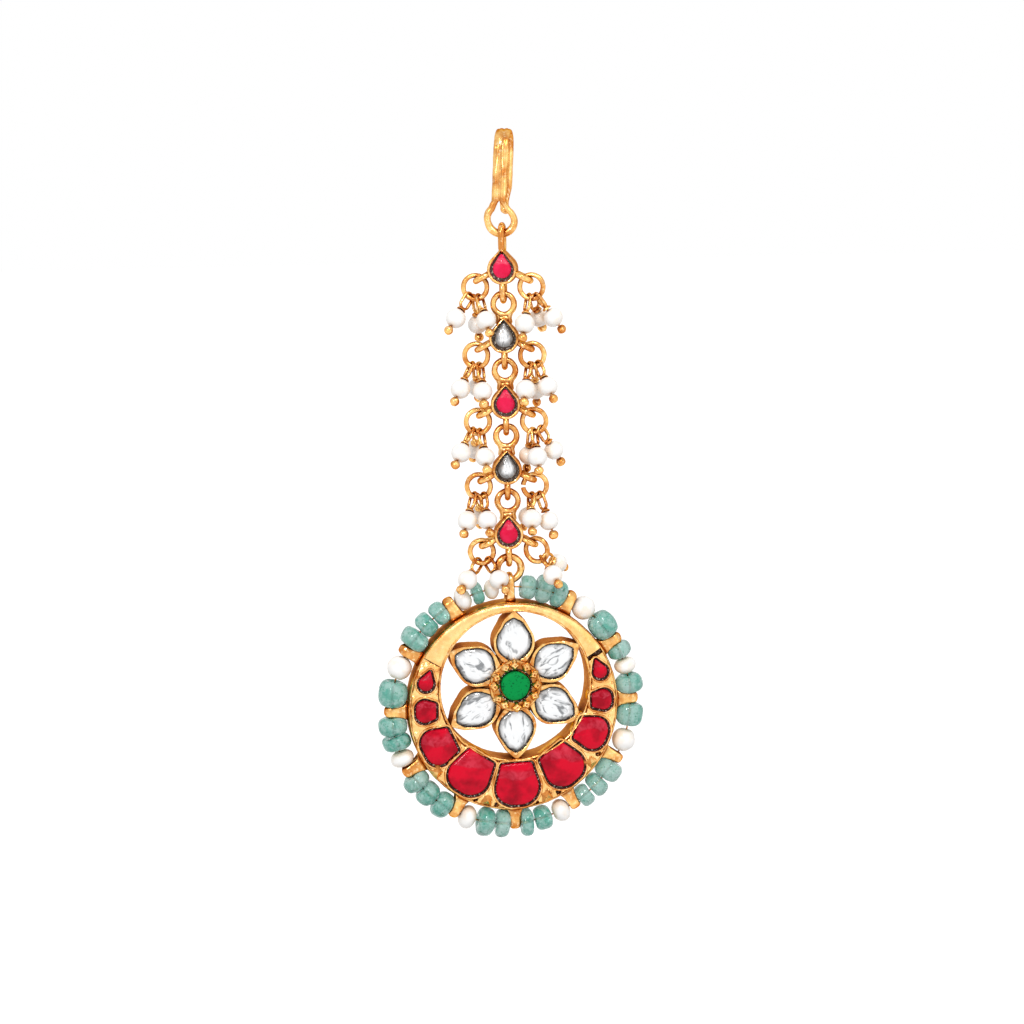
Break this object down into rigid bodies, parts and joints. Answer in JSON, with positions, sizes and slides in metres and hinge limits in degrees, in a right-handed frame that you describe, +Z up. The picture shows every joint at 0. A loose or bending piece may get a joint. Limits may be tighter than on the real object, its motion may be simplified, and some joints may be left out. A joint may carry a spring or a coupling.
{
  "type": "maang tikka",
  "caption": "Gold forehead ornament with a hair hook, stone-set link chain with pearl drops, and a beaded round flower pendant.",
  "frame": {"origin": "inner top of the hook's bend, where the ornament hangs", "axes": "+Z up along the chain, -Y the way the ornament faces, +X to its right as seen from the front"},
  "size_m": [0.0429, 0.0131, 0.1142],
  "materials": {
    "gold": "hand-worked warm matte-bright gold",
    "ruby": "polished red stone",
    "polki": "foil-backed flat-cut clear stone",
    "emerald": "matt green stone",
    "green_bead": "translucent cloudy green bead",
    "pearl": "soft pearl lustre"
  },
  "bodies": {
    "chain": {"connector_ring": "gold", "drop_pearls_left": "pearl", "drop_pearls_right": "pearl", "head_pins_left": "gold", "head_pins_right": "gold", "hook": "gold", "link_1": "gold", "link_2": "gold", "link_3": "gold", "link_4": "gold", "link_5": "gold", "link_polkis": "polki", "link_rubies": "ruby", "side_ring_1_left": "gold", "side_ring_1_right": "gold", "side_ring_2_left": "gold", "side_ring_2_right": "gold", "side_ring_3_left": "gold", "side_ring_3_right": "gold", "side_ring_4_left": "gold", "side_ring_4_right": "gold", "side_ring_5_left": "gold", "side_ring_5_right": "gold"},
    "pendant": {"bead_wire": "gold", "centre_emerald": "emerald", "green_bead_01": "green_bead", "green_bead_02": "green_bead", "green_bead_03": "green_bead", "green_bead_04": "green_bead", "green_bead_05": "green_bead", "green_bead_06": "green_bead", "green_bead_07": "green_bead", "green_bead_08": "green_bead", "green_bead_09": "green_bead", "green_bead_10": "green_bead", "green_bead_11": "green_bead", "green_bead_12": "green_bead", "green_bead_13": "green_bead", "green_bead_14": "green_bead", "green_bead_15": "green_bead", "green_bead_16": "green_bead", "green_bead_17": "green_bead", "green_bead_18": "green_bead", "green_bead_19": "green_bead", "green_bead_20": "green_bead", "green_bead_21": "green_bead", "green_bead_22": "green_bead", "green_bead_23": "green_bead", "green_bead_24": "green_bead", "pendant_frame": "gold", "petal_stones": "polki", "rim_pearls": "pearl", "ruby_bottom": "ruby", "ruby_left_3": "ruby", "ruby_left_4": "ruby", "ruby_right_3": "ruby", "ruby_right_4": "ruby", "small_rubies": "ruby"}
  },
  "joints": [
    {"name": "pendant_swing", "type": "hinge", "parent": "chain", "child": "pendant", "pos_m": [-0.0013, -0.00275, -0.07032], "axis": [0.9848, 0.1736, 0], "range_deg": [-5, 40]}
  ]
}
